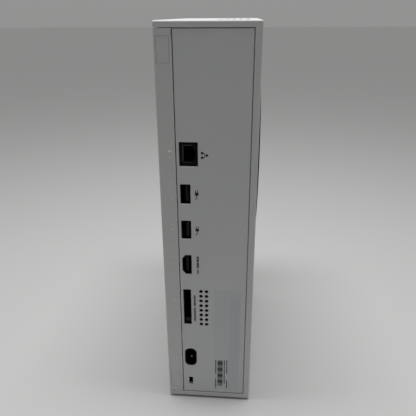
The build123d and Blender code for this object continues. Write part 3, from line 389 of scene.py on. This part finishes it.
finishes = {
    sparkErodedAbs: ["cover_shell", "base_shell"],
    panelAbs: ["rear_panel", "screw_cover_upper", "screw_cover_lower"],
    buttonAbs: ["power_button_cap", "pair_button_cap"],
    paleRubber: ["side_feet", "end_feet"],
    blackAbs: ["fan_grille"],
    connectorResin: [
        "front_usb_tongue", "rear_usb_tongue_upper", "rear_usb_tongue_lower", "video_port_tongue",
        "expansion_slot", "power_inlet", "power_switch", "power_switch_plunger",
        "pair_switch", "pair_switch_plunger", "battery_holder", "power_supply_case",
    ],
    jackResin: ["ethernet_jack"],
    glassFilledNylon: ["fan_frame", "fan_rotor"],
    labelFilm: ["rating_label"],
    clearPolycarbonate: ["power_button_lens"],
    # socket shells and the lock plate darkened as painted shade
    shadeDarkNickel: [
        "front_usb_shell", "rear_usb_shell_upper", "rear_usb_shell_lower", "video_port_shell", "lock_plate",
    ],
    nickelPlate: ["inlet_pins", "clock_battery", "wireless_card"],
    goldFlash: ["ethernet_contacts", "antennas"],
    tinnedSteel: ["upper_shield", "lower_shield", "clamp_spring", "fan_shaft"],
    zincPlate: ["shell_screws", "board_screws", "clamp_screws"],
    milledCopper: ["heat_sink_base", "fan_bearing"],
    millAluminium: ["heat_sink_fins"],
    enamelledCopperWire: ["fan_motor"],
    solderMask: ["main_board", "power_button_board", "front_io_board", "power_supply_board"],
    mouldedEpoxy: ["memory_chips", "ssd_module"],
    polishedSilicon: ["processor", "status_light"],
    pressedFerrite: ["voltage_coils", "rotor_magnet"],
    capacitorCan: ["board_capacitors"],
    varnishedWinding: ["supply_parts"],
}
for makeFinish, finishedNodes in finishes.items():
    finish = makeFinish()
    for nodeName in finishedNodes:
        for materialSlot in nodes[nodeName].material_slots:
            materialSlot.material = finish
print("finishes on", sum(len(names) for names in finishes.values()), "nodes")


def newPiece(name, mesh, material, body):
    data = bpy.data.meshes.new(name)
    bmesh.ops.recalc_face_normals(mesh, faces=mesh.faces)
    mesh.to_mesh(data)
    mesh.free()
    data.materials.append(material)
    piece = bpy.data.objects.new(name, data)
    bpy.context.scene.collection.objects.link(piece)
    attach(piece, body)
    return piece


inkThickness = 0.03 * mm


def inkBar(mesh, x, y, z, wide, tall, turn=0.0):
    # a printed bar that lies on a rear surface at depth y; wide runs along x and tall along z
    place = Matrix.Translation((x, y + inkThickness / 2, z)) @ Matrix.Rotation(turn, 4, "Y")
    bmesh.ops.create_cube(mesh, size=1.0, matrix=place @ Matrix.Diagonal((wide, inkThickness, tall, 1.0)))


def inkDot(mesh, x, y, z, radius):
    place = Matrix.Translation((x, y + inkThickness / 2, z)) @ Matrix.Rotation(math.pi / 2, 4, "X")
    bmesh.ops.create_cone(mesh, cap_ends=True, segments=20, radius1=radius, radius2=radius,
                          depth=inkThickness, matrix=place)


def inkRing(mesh, x, y, z, radius, line, sides=28):
    # a ring of short bars, end to end
    for number in range(sides):
        angle = 2 * math.pi * number / sides
        inkBar(mesh, x + radius * math.cos(angle), y, z + radius * math.sin(angle),
               line, 2.1 * math.pi * radius / sides, turn=-angle)


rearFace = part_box("rating_label")[0].y
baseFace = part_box("base_shell")[1].x


def fromBase(distanceMm):
    return baseFace - distanceMm * mm


# pictograms beside the sockets: distance in from the base's face and height, in mm
marks = {
    "ink": "#17181A", "inkEdge": "#202124",
    "network": {"from": 28.9, "height": 197.7, "dot": 0.85, "reach": 1.45},
    "peripherals": {"from": 23.7, "heights": (171.4, 145.8)},
    "video": {"from": 23.7, "bars": ((121.7, 9.4, 1.6), (114.2, 3.9, 1.0))},
    "storage": {"from": 21.1, "bars": ((90.2, 9.5, 1.25), (78.5, 12.0, 1.25))},
    "line": 0.36,
}


def networkMark(mesh, look):
    # three dots on a branching line
    x, z, line = fromBase(look["from"]), look["height"] * mm, marks["line"] * mm
    dot, reach = look["dot"] * mm, look["reach"] * mm
    inkBar(mesh, x, rearFace, z, line, 2 * reach)
    for side, rise in ((1, reach), (1, -reach), (-1, 0.0)):
        inkBar(mesh, x + side * reach / 2, rearFace, z + rise, reach, line)
        inkDot(mesh, x + side * reach, rearFace, z + rise, dot)


def plugMark(mesh, x, z):
    # a generic plug: a body with two prongs and a lead that bends aside
    line = marks["line"] * mm * 1.3
    inkBar(mesh, x, rearFace, z + 0.6 * mm, 2.3 * mm, 2.1 * mm)
    for side in (-0.65, 0.65):
        inkBar(mesh, x + side * mm, rearFace, z + 2.4 * mm, line, 1.7 * mm)
    inkBar(mesh, x, rearFace, z - 1.4 * mm, line, 2.0 * mm)
    inkBar(mesh, x + 0.5 * mm, rearFace, z - 2.7 * mm, line, 1.6 * mm, turn=-0.7)


def barWords(mesh, look):
    # blocks where a word would stand, read upwards, each broken as letters are
    for middle, length, wide in look["bars"]:
        count = round(length / 1.15)
        for number in range(count):
            z = middle - length / 2 + (number + 0.5) * length / count
            cell = length / count
            tall = cell * (0.86 if number % 3 else 0.68)
            across = wide * (1.0 if number % 4 else 0.8)
            inkBar(mesh, fromBase(look["from"]), rearFace, z * mm, across * mm, tall * mm)


def rearMarks():
    mesh = bmesh.new()
    networkMark(mesh, marks["network"])
    for height in marks["peripherals"]["heights"]:
        plugMark(mesh, fromBase(marks["peripherals"]["from"]), height * mm)
    barWords(mesh, marks["video"])
    barWords(mesh, marks["storage"])
    ink = printInk("markInk", marks["ink"], marks["inkEdge"])
    return newPiece("rear_marks", mesh, ink, "console")


labelPrint = {
    "ink": "#1E1F22", "inkEdge": "#2A2B2F", "faint": "#B2B6BF", "faintEdge": "#BABDC6",
    "darkBlock": {"from": 39.5, "low": 12.7, "high": 38.0, "width": 4.0, "count": 34},
    "darkLines": (  # place from the base side, lower end, upper end
        (36.2, 25.0, 38.0), (36.2, 10.5, 20.0), (42.7, 15.0, 38.0),
        (44.6, 25.5, 38.0), (44.6, 10.5, 19.0),
    ),
    "paleLines": tuple(
        (46.6 + 1.15 * step, 12.0 + 4.0 * (step % 3), 97.0 - 5.0 * (step % 2)) for step in range(6)
    ),
    "paleSigns": (  # place from the base side, height, width of a small ring
        (38.6, 92.0, 2.2), (38.6, 85.5, 2.0), (42.6, 92.0, 1.8),
        (42.8, 86.0, 2.2), (38.6, 78.5, 1.8),
    ),
}


def brokenLine(mesh, y, fromBaseMm, low, high, tall):
    # a line of plain dashes of uneven length, where small print would run
    z, step = low, 0
    while z < high - 0.6:
        length = 0.9 + 0.55 * ((step * 7) % 4)
        length = min(length, high - z)
        inkBar(mesh, fromBase(fromBaseMm), y, (z + length / 2) * mm, tall * mm, length * mm)
        z += length + 0.45
        step += 1


def darkLabelPrint():
    mesh = bmesh.new()
    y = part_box("rating_label")[1].y
    block = labelPrint["darkBlock"]
    pitch = (block["high"] - block["low"]) / block["count"]
    for number in range(block["count"]):
        group = (number // 4) % 2
        thick = pitch * (0.44 + 0.34 * group + 0.08 * (number % 3))  # uneven stripes, which code nothing
        inkBar(mesh, fromBase(block["from"]), y, (block["low"] + (number + 0.5) * pitch) * mm,
               block["width"] * mm, thick * mm)
    for fromBaseMm, low, high in labelPrint["darkLines"]:
        brokenLine(mesh, y, fromBaseMm, low, high, 0.8)
    ink = printInk("labelInkDark", labelPrint["ink"], labelPrint["inkEdge"])
    return newPiece("label_print_dark", mesh, ink, "console")


def paleLabelPrint():
    mesh = bmesh.new()
    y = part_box("rating_label")[1].y
    for fromBaseMm, low, high in labelPrint["paleLines"]:
        brokenLine(mesh, y, fromBaseMm, low, high, 0.5)
    for fromBaseMm, height, radius in labelPrint["paleSigns"]:
        inkRing(mesh, fromBase(fromBaseMm), y, height * mm, radius * mm * 0.5, 0.22 * mm)
    ink = printInk("labelInkPale", labelPrint["faint"], labelPrint["faintEdge"])
    return newPiece("label_print_pale", mesh, ink, "console")


rearMarks()
darkLabelPrint()
paleLabelPrint()
print("printed marks made")


def roundEdges(mesh, radius):
    bmesh.ops.bevel(mesh, geom=mesh.edges[:], offset=radius, segments=2, profile=0.5,
                    affect="EDGES", material=-1)


slotContacts = {
    "from": 15.8, "foot": 70.3, "count": 5, "pitch": 0.85, "wide": 0.4, "thick": 0.3,
    "low": 0.9, "tall": 2.6, "depth": 2.2, "lean": 0.35, "edge": 0.06,
}


def makeSlotContacts():
    # sprung fingers at the lower end of the card slot, just inside its mouth
    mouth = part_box("expansion_slot")[1].y
    mesh = bmesh.new()
    middle = fromBase(slotContacts["from"])
    for number in range(slotContacts["count"]):
        x = middle + (number - (slotContacts["count"] - 1) / 2) * slotContacts["pitch"] * mm
        z = (slotContacts["foot"] + slotContacts["low"] + slotContacts["tall"] / 2) * mm
        place = Matrix.Translation((x, mouth - slotContacts["depth"] * mm, z))
        lean = Matrix.Rotation(slotContacts["lean"], 4, "X")
        size = Matrix.Diagonal((slotContacts["wide"] * mm, slotContacts["thick"] * mm,
                                slotContacts["tall"] * mm, 1.0))
        bmesh.ops.create_cube(mesh, size=1.0, matrix=place @ lean @ size)
    roundEdges(mesh, slotContacts["edge"] * mm)
    finish = surface("dullTin", {
        "colour": "#5A5C60", "mottle": "#46484C", "mottleMm": 1.0,
        "grainMm": 0.25, "relief": 0.15, "reliefMm": 0.01, "roughness": (0.4, 0.55), "metallic": 0.5,
    })
    return newPiece("slot_contacts", mesh, finish, "console")


jackFrame = {
    "low": 14.9, "high": 21.2, "half": 5.6, "line": 0.75, "deep": 1.2, "sunk": 1.0,
    "inset": 0.3, "edge": 0.12, "colour": "#34373D",
}


def makeJackFrame():
    # the guide rails just inside the network socket, on three sides of its mouth
    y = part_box("ethernet_jack")[1].y - (jackFrame["sunk"] + jackFrame["deep"] / 2) * mm
    z = (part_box("ethernet_jack")[0].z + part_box("ethernet_jack")[1].z) / 2
    line, half = jackFrame["line"] * mm, jackFrame["half"] * mm
    middle = (jackFrame["low"] + jackFrame["high"]) / 2
    reach = (jackFrame["high"] - jackFrame["low"]) * mm
    rails = [(fromBase(jackFrame["low"] + jackFrame["inset"]), z, line, 2 * half)]
    rails += [(fromBase(middle), z + side * half, reach, line) for side in (-1, 1)]
    mesh = bmesh.new()
    for x, height, wide, tall in rails:
        size = Matrix.Diagonal((wide, jackFrame["deep"] * mm, tall, 1.0))
        bmesh.ops.create_cube(mesh, size=1.0, matrix=Matrix.Translation((x, y, height)) @ size)
    roundEdges(mesh, jackFrame["edge"] * mm)
    finish = surface("guideRailResin", {
        "colour": jackFrame["colour"], "mottle": "#30333A", "mottleMm": 2.0,
        "grainMm": 0.3, "relief": 0.3, "reliefMm": 0.04, "roughness": (0.4, 0.55),
        "shader": {"IOR": 1.57},
    })
    return newPiece("jack_guide_rails", mesh, finish, "console")


makeJackFrame()
makeSlotContacts()
print("small fittings made")


floorLook = {"colour": "#C8C9C8", "size": 24.0}


def makeFloor():
    mesh = bmesh.new()
    bmesh.ops.create_grid(mesh, x_segments=8, y_segments=8, size=floorLook["size"] / 2)
    data = bpy.data.meshes.new("floor")
    mesh.to_mesh(data)
    mesh.free()
    floor = bpy.data.objects.new("floor", data)
    bpy.context.scene.collection.objects.link(floor)
    data.materials.append(surface("paintedFloor", {
        "colour": floorLook["colour"], "mottle": floorLook["colour"], "mottleMm": 300.0,
        "grainMm": 3.0, "relief": 0.02, "reliefMm": 0.2, "roughness": (0.7, 0.8),
        "shader": {"Specular IOR Level": 0.2},
    }))


lights = {
    "overhead": {
        "place": (0.0, 0.06, 0.84), "aim": (0.0, 0.06, 0.0),
        "wide": 0.5, "deep": 0.12, "watts": 4.4,
    },
}


def makeLight(name, look):
    data = bpy.data.lights.new(name, "AREA")
    data.shape = "RECTANGLE"
    data.size = look["wide"]
    data.size_y = look["deep"]
    data.energy = look["watts"]
    light = bpy.data.objects.new(name, data)
    bpy.context.scene.collection.objects.link(light)
    light.location = look["place"]
    light.visible_camera = False
    aim = Vector(look["aim"]) - Vector(look["place"])
    light.rotation_euler = aim.to_track_quat("-Z", "Y").to_euler()


studio = {"beyond": 0.38, "behind": 0.04, "overhead": 0.33, "horizon": 0.29}


def makeSky():
    # an even studio: bright beyond the console and overhead, dim on the side it is seen from
    world = bpy.data.worlds.new("studio")
    world.use_nodes = True
    tree = world.node_tree
    way = addNode(tree, "ShaderNodeTexCoord").outputs["Generated"]
    parts = addNode(tree, "ShaderNodeSeparateXYZ", {}, {"Vector": way})
    across = addNode(tree, "ShaderNodeMapRange",
                     {"interpolation_type": "SMOOTHSTEP", "From Min": -0.6, "From Max": 0.6,
                      "To Min": studio["beyond"], "To Max": studio["behind"]},
                     {"Value": parts.outputs["Y"]})
    rise = addNode(tree, "ShaderNodeMapRange",
                   {"interpolation_type": "SMOOTHSTEP", "From Min": 0.3, "From Max": 0.9,
                    "To Min": 0.0, "To Max": studio["overhead"]},
                   {"Value": parts.outputs["Z"]})
    total = addNode(tree, "ShaderNodeMath", {"operation": "ADD"},
                    {0: across.outputs["Result"], 1: rise.outputs["Result"]})
    lift = addNode(tree, "ShaderNodeMapRange",
                   {"interpolation_type": "SMOOTHSTEP", "From Min": 0.0, "From Max": 0.16},
                   {"Value": parts.outputs["Z"]})
    strength = addNode(tree, "ShaderNodeMix", {"data_type": "FLOAT", 2: studio["horizon"]},
                       {0: lift.outputs["Result"], 3: total.outputs["Value"]})
    background = tree.nodes["Background"]
    background.inputs["Color"].default_value = (1.0, 1.0, 0.99, 1.0)
    tree.links.new(strength.outputs["Result"], background.inputs["Strength"])
    bpy.context.scene.world = world


camera = {
    "place": (-0.02093, 0.34327, 0.27731),
    "right": (-0.9968, -0.0798, -0.0048),
    "forward": (0.0753, -0.9166, -0.3926),
    "lens": 39.06,
}


def makeCamera():
    data = bpy.data.cameras.new("camera")
    data.lens = camera["lens"]
    data.sensor_width = 36.0
    data.clip_start = 0.01
    viewer = bpy.data.objects.new("camera", data)
    bpy.context.scene.collection.objects.link(viewer)
    right = Vector(camera["right"]).normalized()
    back = -Vector(camera["forward"]).normalized()
    up = back.cross(right).normalized()
    turn = Matrix((right, up, back)).transposed()
    viewer.matrix_world = Matrix.Translation(camera["place"]) @ turn.to_4x4()
    bpy.context.scene.camera = viewer


makeFloor()
for lightName, lightLook in lights.items():
    makeLight(lightName, lightLook)
makeSky()
makeCamera()
bpy.context.scene.view_settings.view_transform = "Standard"
print("stage, lights and camera made")
